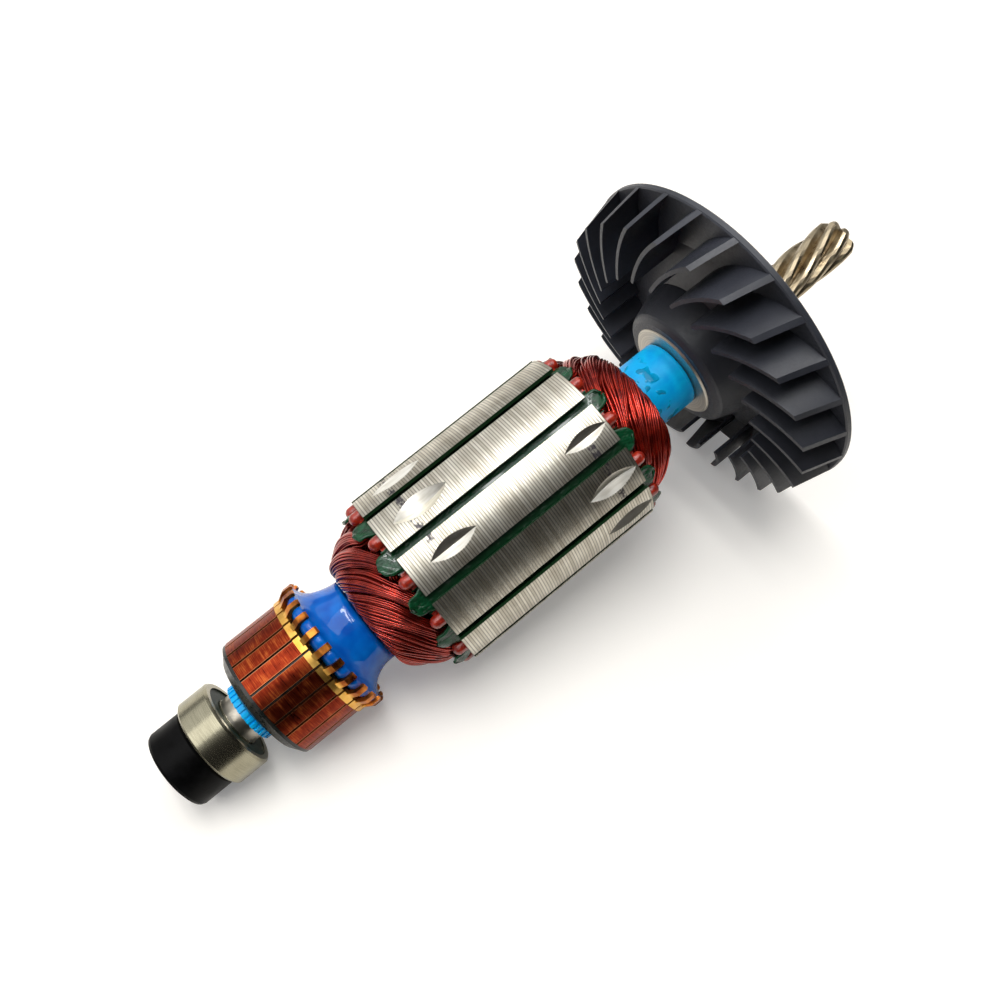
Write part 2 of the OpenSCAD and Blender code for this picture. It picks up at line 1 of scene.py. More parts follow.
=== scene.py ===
# %% [markdown]
# # A motor armature on a pale table
# The armature of a small hand tool's motor lies on the rim of its fan and on its
# commutator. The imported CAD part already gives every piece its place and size. This
# lesson adds what a still picture needs: wound wire, drips of varnish, the surfaces of
# steel, copper, resin and plastic, and then a table, light and a camera.

# %% Tools and the CAD frame
import json
import math
import random

import bmesh
import bpy
from mathutils import Matrix, Vector


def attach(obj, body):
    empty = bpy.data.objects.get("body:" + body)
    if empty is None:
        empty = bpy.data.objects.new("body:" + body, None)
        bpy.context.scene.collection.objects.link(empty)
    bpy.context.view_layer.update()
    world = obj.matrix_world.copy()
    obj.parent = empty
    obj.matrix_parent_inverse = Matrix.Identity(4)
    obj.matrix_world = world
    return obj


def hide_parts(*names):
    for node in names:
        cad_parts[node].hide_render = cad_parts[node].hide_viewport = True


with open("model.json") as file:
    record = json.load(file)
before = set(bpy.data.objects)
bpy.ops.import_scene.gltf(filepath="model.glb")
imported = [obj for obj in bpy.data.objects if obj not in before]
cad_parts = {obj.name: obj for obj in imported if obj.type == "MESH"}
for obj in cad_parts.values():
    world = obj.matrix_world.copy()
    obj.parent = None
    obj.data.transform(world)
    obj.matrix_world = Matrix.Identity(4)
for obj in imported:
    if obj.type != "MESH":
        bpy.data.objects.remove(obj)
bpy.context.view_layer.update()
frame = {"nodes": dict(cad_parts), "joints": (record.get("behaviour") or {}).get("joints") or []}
NODES = frame["nodes"]

# %% [markdown]
# ## The shaft's own axes
# The armature lies tilted, but its pieces are easiest to describe about the shaft: z runs
# along it in millimetres, from the middle of the core towards the fan, and angles are
# counted from the lowest side. `SHAFT` is the matrix that carries such a point into the
# scene. It comes from the bearing's joint, so nothing is fitted by eye.

# %% Axes of the shaft
MM = 0.001
BEARING_Z = -61.8
spin = frame["joints"][0]
along = Vector(spin["axis"]).normalized()
tilt = math.atan2(along.z, along.x)
down = Vector((math.sin(tilt), 0, -math.cos(tilt)))
side = Vector((0, 1, 0))
centre = Vector(spin["pos_m"]) - along * BEARING_Z * MM
SHAFT = Matrix.Translation(centre) @ Matrix((down, side, along)).transposed().to_4x4()
SHAFT = SHAFT @ Matrix.Scale(MM, 4)
print("tilt of the shaft:", round(math.degrees(tilt), 2), "degrees")


def polar(r, degrees, z):
    """A point about the shaft: radius, angle from the lowest side, place along it."""
    a = math.radians(degrees)
    return Vector((r * math.cos(a), r * math.sin(a), z))


# %% [markdown]
# ## Colours and nodes
# Paint charts and screens give colours as sRGB hex, while Cycles works in linear light,
# so one function turns the one into the other. A second one adds any node with its
# settings and links: inputs are numbers, colours or sockets of other nodes. Every
# pattern is worked out in the shaft's millimetres, and `about_shaft` gives those.

# %% Linear colours
def linear(code):
    """A hex colour as linear red, green, blue and alpha."""
    parts = [int(code[i:i + 2], 16) / 255 for i in (0, 2, 4)]
    return [c / 12.92 if c <= 0.04045 else ((c + 0.055) / 1.055) ** 2.4 for c in parts] + [1.0]


# %% One function for every node
def add(mat, kind, inputs=(), out=0, stops=(), **settings):
    """Adds a node to a material and gives back one of its outputs."""
    node = mat.node_tree.nodes.new("ShaderNode" + kind)
    for name, value in settings.items():
        setattr(node, name, value)
    for i, (at, value) in enumerate(stops):
        ends = node.color_ramp.elements
        stop = ends[i] if i < 2 else ends.new(at)
        stop.position = at
        stop.color = linear(value) if isinstance(value, str) else (value, value, value, 1)
    for key, value in dict(inputs).items():
        if isinstance(value, bpy.types.NodeSocket):
            mat.node_tree.links.new(value, node.inputs[key])
        elif isinstance(value, str):
            node.inputs[key].default_value = linear(value)
        else:
            node.inputs[key].default_value = value
    return node.outputs[out]


# %% A material and its place about the shaft
def finish(name, **values):
    """A new material whose shader starts from these plain values."""
    mat = bpy.data.materials.new(name)
    mat.use_nodes = True
    shader = mat.node_tree.nodes["Principled BSDF"]
    for key, value in values.items():
        socket = shader.inputs[key.replace("_", " ")]
        socket.default_value = linear(value) if isinstance(value, str) else value
    return mat


def join(mat, **sockets):
    """Links sockets to the inputs of a material's shader."""
    shader = mat.node_tree.nodes["Principled BSDF"]
    for key, socket in sockets.items():
        mat.node_tree.links.new(socket, shader.inputs[key.replace("_", " ")])


def about_shaft(mat):
    """Sockets for the place about the shaft: point and z in mm, degrees and radius."""
    inverse = SHAFT.inverted()
    coords = add(mat, "TexCoord", out=3)
    point = add(mat, "Mapping", {"Vector": coords, "Location": inverse.translation,
                                 "Rotation": inverse.to_quaternion().to_euler(),
                                 "Scale": (1 / MM,) * 3})
    split = add(mat, "SeparateXYZ", {0: point}).node.outputs
    turn = add(mat, "Math", {0: split[1], 1: split[0]}, operation="ARCTAN2")
    degrees = add(mat, "Math", {0: turn}, operation="DEGREES")
    flat = add(mat, "VectorMath", {0: point, 1: (1, 1, 0)}, operation="MULTIPLY")
    radius = add(mat, "VectorMath", {0: flat}, out=1, operation="LENGTH")
    return {"point": point, "z": split[2], "degrees": degrees, "radius": radius}


def dress(mat, *names):
    """Gives CAD nodes one material."""
    for name in names:
        NODES[name].data.materials.clear()
        NODES[name].data.materials.append(mat)
    print(mat.name, "->", len(names), "nodes")


# %% [markdown]
# ## Steel sheets of the core
# The core is a stack of punched electrical steel sheets, half a millimetre thick. Each
# sheet has a rounded, slightly different edge, so the light breaks into fine lines. The
# lines could be modelled, but some eighty sheets over twelve teeth are far too many
# faces, so a bump follows the place along the shaft. Below the surface the slot walls
# are wet with dark green varnish, and the balance cuts are smooth where the wheel ground
# across the sheets. Both are found from the radius and the angle within a tooth.

# %% Electrical steel, stacked and ground: bright bands broken by fine dark seams
SHEET = 0.52
TOOTH_TURN, TOOTH_STEP = 22.5, 30.0
SLOT_FROM = 11.6
CORE_R = 17.5
steel = finish("Electrical steel, stacked sheets, ground", Metallic=1.0, Roughness=0.36)
here = about_shaft(steel)
sheets = add(steel, "Math", {0: here["z"], 1: SHEET}, operation="DIVIDE")
number = add(steel, "Math", {0: sheets}, operation="FLOOR")
part_of_sheet = add(steel, "Math", {0: sheets}, operation="FRACT")
from_middle = add(steel, "Math", {0: part_of_sheet, 1: 0.5}, operation="SUBTRACT")
from_middle = add(steel, "Math", {0: from_middle}, operation="ABSOLUTE")
seam = add(steel, "MapRange", {0: from_middle, 1: 0.28, 2: 0.5})
shade = add(steel, "TexWhiteNoise", {"W": number}, noise_dimensions="1D")
cloud = add(steel, "TexNoise", {"Vector": here["point"], "Scale": 0.3, "Detail": 3.0})
tone = add(steel, "Mix", {0: 0.35, 2: cloud, 3: shade})
sheet_colour = add(steel, "ValToRGB", {0: tone}, stops=((0.3, "B6AFA0"), (0.7, "DED9CC")))
seam_share = add(steel, "Math", {0: seam, 1: 0.74}, operation="MULTIPLY")
surface = add(steel, "Mix", {0: seam_share, 6: sheet_colour, 7: "2B2A26"}, out=2,
              data_type="RGBA")

# %% Where the balance cuts and the slot walls are
half = TOOTH_STEP / 2
off = add(steel, "Math", {0: here["degrees"], 1: 360 - TOOTH_TURN + half}, operation="ADD")
off = add(steel, "Math", {0: off, 1: TOOTH_STEP}, operation="MODULO")
off = add(steel, "Math", {0: off, 1: half}, operation="SUBTRACT")
off = add(steel, "Math", {0: off}, operation="ABSOLUTE")
below = add(steel, "MapRange", {0: here["radius"], 1: CORE_R - 0.03, 2: CORE_R - 0.07})
near_slot = add(steel, "MapRange", {0: off, 1: SLOT_FROM, 2: SLOT_FROM + 0.3})
in_slot = add(steel, "Math", {0: below, 1: near_slot}, operation="MULTIPLY")
in_cut = add(steel, "Math", {0: below, 1: in_slot}, operation="SUBTRACT")
grind = add(steel, "VectorMath", {0: here["point"], 1: (1.8, 1.8, 0.25)}, operation="MULTIPLY")
grind = add(steel, "TexNoise", {"Vector": grind, "Scale": 1.0, "Detail": 2.0})
ground = add(steel, "ValToRGB", {0: grind}, stops=((0.3, "D8D3C6"), (0.7, "F2EFE6")))
surface = add(steel, "Mix", {0: in_cut, 6: surface, 7: ground}, out=2, data_type="RGBA")

# %% Ink marks from balancing: a dashed line on each end, drawn with a violet-black pen
MARKS = ((-14.0, 130.0, 194.0), (15.6, 207.0, 228.0), (15.4, 238.0, 248.0))
INK_HALF_W = 0.75
ragged = add(steel, "TexNoise", {"Vector": here["point"], "Scale": 1.1, "Detail": 2.0})
inked = None
turned = add(steel, "Math", {0: here["degrees"], 1: 360.0}, operation="ADD")
turned = add(steel, "Math", {0: turned, 1: 360.0}, operation="MODULO")
for place, low, high in MARKS:
    apart = add(steel, "Math", {0: here["z"], 1: place}, operation="SUBTRACT")
    apart = add(steel, "Math", {0: apart}, operation="ABSOLUTE")
    band = add(steel, "MapRange", {0: apart, 1: INK_HALF_W + 0.1, 2: INK_HALF_W - 0.15})
    first = add(steel, "MapRange", {0: turned, 1: low - 0.4, 2: low + 0.4})
    last = add(steel, "MapRange", {0: turned, 1: high + 0.4, 2: high - 0.4})
    span = add(steel, "Math", {0: first, 1: last}, operation="MULTIPLY")
    mark = add(steel, "Math", {0: band, 1: span}, operation="MULTIPLY")
    if inked is not None:
        mark = add(steel, "Math", {0: inked, 1: mark}, operation="MAXIMUM")
    inked = mark
patchy = add(steel, "MapRange", {0: ragged, 1: 0.42, 2: 0.56, 3: 0.0, 4: 0.85})
inked = add(steel, "Math", {0: inked, 1: patchy}, operation="MULTIPLY")
outside = add(steel, "Math", {0: 1.0, 1: below}, operation="SUBTRACT")
inked = add(steel, "Math", {0: inked, 1: outside}, operation="MULTIPLY")
surface = add(steel, "Mix", {0: inked, 6: surface, 7: "2A2638"}, out=2, data_type="RGBA")
surface = add(steel, "Mix", {0: in_slot, 6: surface, 7: "1A3A1E"}, out=2, data_type="RGBA")

# %% The sheets' edges stand out, and the ground cuts are smooth
edge = add(steel, "Math", {0: seam, 1: 2.0}, operation="POWER")
edge = add(steel, "Math", {0: 1.0, 1: edge}, operation="SUBTRACT")
uncut = add(steel, "Math", {0: 1.0, 1: in_cut}, operation="SUBTRACT")
relief = add(steel, "Bump", {"Height": edge, "Distance": 0.038 * MM, "Strength": uncut})
dull = add(steel, "MapRange", {0: in_cut, 3: 0.36, 4: 0.3})
dull = add(steel, "Mix", {0: inked, 2: dull, 3: 0.55})
bare = add(steel, "Math", {0: 1.0, 1: in_slot}, operation="SUBTRACT")
join(steel, Base_Color=surface, Roughness=dull, Metallic=bare, Normal=relief)
dress(steel, "core_laminations")

# %% [markdown]
# ## Shaft and pinion
# The shaft is one steel rod. Its pinion was cut and then hardened, which leaves a warm
# bronze-grey oxide, with the tips of the teeth worn brighter. The rest of the shaft was
# ground and shows fine rings.

# %% Hardened steel, ground, with brown oxide on the pinion
PINION_FROM = 62.0
hard_steel = finish("Hardened steel, ground, oxide tinted", Metallic=1.0, Roughness=0.3)
here = about_shaft(hard_steel)
rings = add(hard_steel, "VectorMath", {0: here["point"], 1: (0.4, 0.4, 7.0)},
            operation="MULTIPLY")
rings = add(hard_steel, "TexNoise", {"Vector": rings, "Scale": 1.0, "Detail": 2.0})
oxide = add(hard_steel, "TexNoise", {"Vector": here["point"], "Scale": 0.55, "Detail": 3.0})
tinted = add(hard_steel, "ValToRGB", {0: oxide}, stops=((0.3, "7A6A52"), (0.7, "A89A80")))
worn = add(hard_steel, "MapRange", {0: here["radius"], 1: 3.6, 2: 4.25})
tinted = add(hard_steel, "Mix", {0: worn, 6: tinted, 7: "B4A68C"}, out=2, data_type="RGBA")
on_pinion = add(hard_steel, "MapRange", {0: here["z"], 1: PINION_FROM, 2: PINION_FROM + 1.5})
colour = add(hard_steel, "Mix", {0: on_pinion, 6: "AFA99E", 7: tinted}, out=2, data_type="RGBA")
dull = add(hard_steel, "MapRange", {0: oxide, 1: 0.3, 2: 0.7, 3: 0.24, 4: 0.4})
relief = add(hard_steel, "Bump", {"Height": rings, "Distance": 0.01 * MM})
join(hard_steel, Base_Color=colour, Roughness=dull, Normal=relief)
dress(hard_steel, "shaft")

# %% [markdown]
# ## Ball bearing
# The rings are chromium steel, ground and then rolled in handling, so they keep a satin
# shine with fine rings around them. The seals are nitrile rubber. The cage between the
# balls is nylon, and only shows when the bearing is cut open.

# %% Bearing steel, ground satin: soft broad bands of light round the ring
bearing_steel = finish("Bearing steel, ground satin", Metallic=1.0, Roughness=0.24)
here = about_shaft(bearing_steel)
rings = add(bearing_steel, "VectorMath", {0: here["point"], 1: (0.25, 0.25, 9.0)},
            operation="MULTIPLY")
rings = add(bearing_steel, "TexNoise", {"Vector": rings, "Scale": 1.0, "Detail": 2.0})
soft = add(bearing_steel, "TexNoise", {"Vector": here["point"], "Scale": 0.25, "Detail": 2.0})
shade = add(bearing_steel, "Mix", {0: 0.5, 2: rings, 3: soft})
colour = add(bearing_steel, "ValToRGB", {0: shade}, stops=((0.3, "8E8974"), (0.7, "B2AD96")))
relief = add(bearing_steel, "Bump", {"Height": rings, "Distance": 0.007 * MM})
join(bearing_steel, Base_Color=colour, Normal=relief)
dress(bearing_steel, "bearing_outer_ring", "bearing_inner_ring", "bearing_balls")

# %% Nitrile rubber, moulded: dull, green-black, faintly rough
rubber = finish("Nitrile rubber, moulded, green-black", Roughness=0.5)
here = about_shaft(rubber)
grain = add(rubber, "TexNoise", {"Vector": here["point"], "Scale": 3.0, "Detail": 2.0})
colour = add(rubber, "ValToRGB", {0: grain}, stops=((0.3, "13241C"), (0.7, "22382C")))
relief = add(rubber, "Bump", {"Height": grain, "Distance": 0.02 * MM})
join(rubber, Base_Color=colour, Normal=relief)
dress(rubber, "bearing_seal_front", "bearing_seal_back")

# %% Nylon, natural, moulded: warm white, slightly cloudy
nylon = finish("Nylon, natural, moulded", Roughness=0.45, Subsurface_Weight=0.1)
here = about_shaft(nylon)
cloud = add(nylon, "TexNoise", {"Vector": here["point"], "Scale": 0.8, "Detail": 2.0})
colour = add(nylon, "ValToRGB", {0: cloud}, stops=((0.3, "C2B48E"), (0.7, "D6CBAA")))
join(nylon, Base_Color=colour)
dress(nylon, "bearing_cage")

# %% [markdown]
# ## Magnet ring
# A ring magnet for a speed sensor is pressed from magnetic powder in black resin. It is
# nearly black, smooth, with rounded edges, faint scuffs and a fine open grain.

# %% Bonded ferrite, pressed: near-black with a soft satin edge
ferrite = finish("Bonded ferrite, pressed, black", Roughness=0.3, Specular_IOR_Level=0.07)
here = about_shaft(ferrite)
grain = add(ferrite, "TexNoise", {"Vector": here["point"], "Scale": 4.0, "Detail": 2.0})
scuff = add(ferrite, "TexNoise", {"Vector": here["point"], "Scale": 0.5, "Detail": 4.0})
colour = add(ferrite, "ValToRGB", {0: scuff}, stops=((0.35, "040404"), (0.75, "0C0C0D")))
dull = add(ferrite, "MapRange", {0: scuff, 1: 0.3, 2: 0.7, 3: 0.28, 4: 0.45})
relief = add(ferrite, "Bump", {"Height": grain, "Distance": 0.012 * MM})
join(ferrite, Base_Color=colour, Roughness=dull, Normal=relief)
dress(ferrite, "magnet_ring")

# %% [markdown]
# ## Moulded plastics
# The commutator's body is phenolic resin, black and hard. The ribbed collar and the
# sleeve beside the fan are glass-filled polyester, sky blue. Near the windings, varnish
# ran onto the sleeve and dried there in dark glossy patches.

# %% Phenolic moulding, black: hard and glossy with copper dust
phenolic = finish("Phenolic resin, moulded, black", Roughness=0.3)
here = about_shaft(phenolic)
dust = add(phenolic, "TexNoise", {"Vector": here["point"], "Scale": 1.4, "Detail": 3.0})
colour = add(phenolic, "ValToRGB", {0: dust}, stops=((0.45, "0E1412"), (0.8, "2A221C")))
dull = add(phenolic, "MapRange", {0: dust, 1: 0.3, 2: 0.7, 3: 0.2, 4: 0.45})
join(phenolic, Base_Color=colour, Roughness=dull)
dress(phenolic, "commutator_hub")

# %% Polyester moulding, sky blue, with dried varnish towards the coils
DRIPS_FROM, DRIPS_TO = 31.0, 36.5
polyester = finish("Glass-filled polyester, moulded, sky blue", Roughness=0.36,
                   Specular_IOR_Level=0.25)
here = about_shaft(polyester)
cloud = add(polyester, "TexNoise", {"Vector": here["point"], "Scale": 0.5, "Detail": 3.0})
plain = add(polyester, "ValToRGB", {0: cloud}, stops=((0.3, "02AAF6"), (0.7, "0CC2FF")))
spots = add(polyester, "TexNoise", {"Vector": here["point"], "Scale": 0.5, "Detail": 1.0})
spots = add(polyester, "MapRange", {0: spots, 1: 0.56, 2: 0.62})
near_low = add(polyester, "MapRange", {0: here["z"], 1: DRIPS_FROM, 2: DRIPS_FROM + 1.5})
near_high = add(polyester, "MapRange", {0: here["z"], 1: DRIPS_TO, 2: DRIPS_TO - 2})
near = add(polyester, "Math", {0: near_low, 1: near_high}, operation="MULTIPLY")
wet = add(polyester, "Math", {0: spots, 1: near}, operation="MULTIPLY")
wet_share = add(polyester, "Math", {0: wet, 1: 0.6}, operation="MULTIPLY")
colour = add(polyester, "Mix", {0: wet_share, 6: plain, 7: "04607E"}, out=2, data_type="RGBA")
dull = add(polyester, "MapRange", {0: wet, 3: 0.34, 4: 0.08})
relief = add(polyester, "Bump", {"Height": wet, "Distance": 0.12 * MM})
join(polyester, Base_Color=colour, Roughness=dull, Normal=relief)
dress(polyester, "ribbed_collar", "fan_sleeve")

# %% [markdown]
# ## Fan
# The fan is moulded from black glass-filled nylon around a turned aluminium bush. The
# glass leaves a fine dry grain, so light spreads over the blades and only their thin
# front edges catch it.

# %% Glass-filled nylon, moulded, black: fine dry grain and a soft bluish sheen
GRAIN_PER_MM = 2.2
filled_nylon = finish("Glass-filled nylon, moulded, black", Roughness=0.42)
here = about_shaft(filled_nylon)
grain = add(filled_nylon, "TexNoise",
            {"Vector": here["point"], "Scale": GRAIN_PER_MM, "Detail": 3.0})
flow = add(filled_nylon, "TexNoise", {"Vector": here["point"], "Scale": 0.15, "Detail": 3.0})
colour = add(filled_nylon, "ValToRGB", {0: flow}, stops=((0.3, "282A31"), (0.7, "383A42")))
dull = add(filled_nylon, "MapRange", {0: grain, 1: 0.3, 2: 0.7, 3: 0.36, 4: 0.52})
relief = add(filled_nylon, "Bump", {"Height": grain, "Distance": 0.018 * MM})
join(filled_nylon, Base_Color=colour, Roughness=dull, Normal=relief)
dress(filled_nylon, "fan")

# %% Aluminium, turned: pale satin with fine rings round the bore
aluminium = finish("Aluminium, turned, satin", Metallic=1.0, Roughness=0.4)
here = about_shaft(aluminium)
ring = add(aluminium, "CombineXYZ", {0: here["radius"], 1: here["z"]})
ring = add(aluminium, "TexNoise", {"Vector": ring, "Scale": 7.0, "Detail": 2.0})
colour = add(aluminium, "ValToRGB", {0: ring}, stops=((0.3, "A9A398"), (0.7, "D4CEC2")))
relief = add(aluminium, "Bump", {"Height": ring, "Distance": 0.012 * MM})
join(aluminium, Base_Color=colour, Normal=relief)
dress(aluminium, "fan_insert")

# %% [markdown]
# ## Insulation of the core
# The red end insulators carry a round bead on every finger. Green strips close the
# slots, and their ends stand out of the core as round tongues. The whole core was
# trickled with varnish, which dried glossy and uneven over both.

# %% Polyester moulding, red, varnished: deep red with wet highlights
red_poly = finish("Polyester, moulded, red, varnished", Roughness=0.3, Coat_Weight=0.6,
                  Coat_Roughness=0.12)
here = about_shaft(red_poly)
cloud = add(red_poly, "TexNoise", {"Vector": here["point"], "Scale": 0.9, "Detail": 3.0})
colour = add(red_poly, "ValToRGB", {0: cloud}, stops=((0.3, "7A1A0E"), (0.7, "B83018")))
relief = add(red_poly, "Bump", {"Height": cloud, "Distance": 0.35 * MM})
join(red_poly, Base_Color=colour, Normal=relief)
dress(red_poly, "end_insulator_front", "end_insulator_back")

# %% Pressboard strips, green, varnished: dark, glossy and slightly wrinkled, with painted shade in the slots
pressboard = finish("Pressboard, green, varnished", Roughness=0.25, Specular_IOR_Level=0.2,
                    Coat_Weight=0.45, Coat_Roughness=0.05)
here = about_shaft(pressboard)
wrinkle = add(pressboard, "VectorMath", {0: here["point"], 1: (1.3, 1.3, 0.7)},
              operation="MULTIPLY")
wrinkle = add(pressboard, "TexNoise", {"Vector": wrinkle, "Scale": 0.9, "Detail": 3.0})
colour = add(pressboard, "ValToRGB", {0: wrinkle}, stops=((0.35, "042C14"), (0.7, "0E5030")))
# Inside the core the strip is one flat, darker green: partly the varnish soaked into it, partly
# painted shade of the narrow slot.
clear_of_painted_slot_shade = add(pressboard, "Math", {0: here["z"]}, operation="ABSOLUTE")
clear_of_painted_slot_shade = add(pressboard, "MapRange", {0: clear_of_painted_slot_shade, 1: 20.0, 2: 20.6})
colour = add(pressboard, "Mix", {0: clear_of_painted_slot_shade, 6: "08341A", 7: colour}, out=2,
             data_type="RGBA")
relief = add(pressboard, "Bump", {"Height": wrinkle, "Distance": 0.4 * MM})
join(pressboard, Base_Color=colour, Normal=relief)
dress(pressboard, "slot_liners")

# %% [markdown]
# ## Commutator
# Twenty-four copper bars were turned true after they were moulded in, so the brush track
# has fine rings. The brushes and the air have browned it. A lighter copper is painted
# beside each gap as a highlight on the bars' edges, and the riser behind the track kept
# its brassy colour.

# %% Copper, turned and run in: red-brown film, painted highlights beside the gaps, brassy riser
BAR_STEP = 15.0
RISER_FROM, HOOKS_FROM = -41.6, -40.0
copper = finish("Copper, turned, run in", Metallic=1.0, Roughness=0.34)
here = about_shaft(copper)
rings = add(copper, "VectorMath", {0: here["point"], 1: (0.35, 0.35, 6.0)},
            operation="MULTIPLY")
rings = add(copper, "TexNoise", {"Vector": rings, "Scale": 1.0, "Detail": 3.0})
film = add(copper, "TexNoise", {"Vector": here["point"], "Scale": 0.42, "Detail": 4.0})
shade = add(copper, "Mix", {0: 0.5, 2: rings, 3: film})
track = add(copper, "ValToRGB", {0: shade},
            stops=((0.34, "5A1A10"), (0.52, "88301A"), (0.7, "C46832")))
turned = add(copper, "Math", {0: here["degrees"], 1: 360.0}, operation="ADD")
turned = add(copper, "Math", {0: turned, 1: BAR_STEP}, operation="MODULO")
turned = add(copper, "Math", {0: turned, 1: BAR_STEP / 2}, operation="SUBTRACT")
turned = add(copper, "Math", {0: turned}, operation="ABSOLUTE")
# A lighter copper along each bar's edge beside the gap: a painted highlight.
painted_edge_highlight = add(copper, "MapRange", {0: turned, 1: 5.95, 2: 6.35})
track = add(copper, "Mix", {0: painted_edge_highlight, 6: track, 7: "C07A50"}, out=2, data_type="RGBA")
on_riser = add(copper, "MapRange", {0: here["z"], 1: RISER_FROM - 0.04, 2: RISER_FROM + 0.04})
brass = add(copper, "ValToRGB", {0: film}, stops=((0.3, "DCA044"), (0.7, "FFCC6C")))
on_hook = add(copper, "MapRange", {0: here["z"], 1: HOOKS_FROM - 0.3, 2: HOOKS_FROM + 0.3})
hooks = add(copper, "ValToRGB", {0: film}, stops=((0.35, "7A3616"), (0.65, "E08C3C")))
brass = add(copper, "Mix", {0: on_hook, 6: brass, 7: hooks}, out=2, data_type="RGBA")
colour = add(copper, "Mix", {0: on_riser, 6: track, 7: brass}, out=2, data_type="RGBA")
dull = add(copper, "MapRange", {0: shade, 1: 0.35, 2: 0.65, 3: 0.26, 4: 0.42})
relief = add(copper, "Bump", {"Height": rings, "Distance": 0.012 * MM})
join(copper, Base_Color=colour, Roughness=dull, Normal=relief)
dress(copper, *[name for name in NODES if name.startswith("commutator_bar")])

# %% [markdown]
# ## Resin over the leads
# Blue epoxy was trickled over the coil leads while the armature turned. It set smooth
# and glossy, a little lumpy where it follows the wires beneath.

# %% Epoxy, trickled, blue: deep colour under long wet highlights
epoxy = finish("Epoxy, trickled, blue", Roughness=0.06, Specular_IOR_Level=0.38)
here = about_shaft(epoxy)
lumps = add(epoxy, "TexNoise", {"Vector": here["point"], "Scale": 0.34, "Detail": 1.5})
colour = add(epoxy, "ValToRGB", {0: lumps}, stops=((0.3, "004EAE"), (0.7, "046CCA")))
relief = add(epoxy, "Bump", {"Height": lumps, "Distance": 0.12 * MM})
join(epoxy, Base_Color=colour, Normal=relief)

# %% The resin's body: a spun profile that creeps up between the hooks
RESIN = ((4.52, -39.9), (10.6, -39.9), (11.7, -39.2), (12.1, -38.55), (12.15, -38.0),
         (12.1, -37.5), (11.5, -37.4), (10.95, -37.15), (10.4, -36.75), (9.9, -36.2),
         (9.45, -35.6), (9.05, -34.8), (8.75, -34.0), (8.5, -33.1), (8.38, -32.2),
         (8.3, -31.1), (5.85, -31.1), (5.85, -30.4), (4.52, -30.4))
HOOK_STEP, FIRST_HOOK = 15.0, 7.5
PLUG_R, FOOT_Z = 6.0, -39.5
CREEP, CREEP_Z, CREEP_LENGTH = 0.4, -36.8, 1.2
WAVE, RIM_R = 0.1, 12.2
resin = bmesh.new()
outline = [resin.verts.new((r, 0, z)) for r, z in RESIN]
edges = [resin.edges.new((outline[k - 1], outline[k])) for k in range(len(outline))]
bmesh.ops.spin(resin, geom=outline + edges, cent=(0, 0, 0), axis=(0, 0, 1),
               angle=2 * math.pi, steps=144, use_merge=True)
bmesh.ops.remove_doubles(resin, verts=resin.verts, dist=0.001)
for vert in resin.verts:
    r = math.hypot(vert.co.x, vert.co.y)
    if r < PLUG_R or vert.co.z < FOOT_Z:
        continue
    angle = math.degrees(math.atan2(vert.co.y, vert.co.x))
    from_hook = abs((angle - FIRST_HOOK) % HOOK_STEP - HOOK_STEP / 2) / (HOOK_STEP / 2)
    near_rim = max(0, min(1, (CREEP_Z - vert.co.z) / CREEP_LENGTH))
    creep = CREEP * (1 - from_hook) * near_rim
    wave = WAVE * math.sin(math.radians(5 * angle) + 0.8 * vert.co.z) * min(1, (RIM_R - r) / 2)
    scale = (r + creep + wave) / r
    vert.co.x *= scale
    vert.co.y *= scale
bmesh.ops.recalc_face_normals(resin, faces=resin.faces)
resin.transform(SHAFT)
resin_mesh = bpy.data.meshes.new("resin")
resin.to_mesh(resin_mesh)
resin.free()
print("resin:", len(resin_mesh.polygons), "faces")

# %% Pieces that stand for CAD nodes
def place_piece(mesh, name, mat, body="armature", replaces=()):
    """Makes a finished mesh a piece that rides on a body."""
    for face in mesh.polygons:
        face.use_smooth = True
    mesh.materials.clear()
    mesh.materials.append(mat)
    piece = bpy.data.objects.new(name, mesh)
    bpy.context.scene.collection.objects.link(piece)
    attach(piece, body)
    if replaces:
        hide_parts(*replaces)
    return piece


place_piece(resin_mesh, "resin_body", epoxy, replaces=["lead_resin"])

# %% [markdown]
# ## Slot strips
# The strips are soft pressboard, pushed in by hand: past the core their tongues wave,
# curl at the edges and hold drops of varnish. Each starts as a grid along its slot, is
# narrowed to a round end, bent a little, and then given its thickness. The ends differ
# because every strip draws its own bends from one seeded generator.

# %% One strip as a bent grid
STRIP_R, STRIP_HALF_W, STRIP_T = 15.75, 2.42, 0.42
FRONT_REACH, BACK_REACH = 3.4, 2.8
CORE_HALF = 20.3
strip_rnd = random.Random(7)


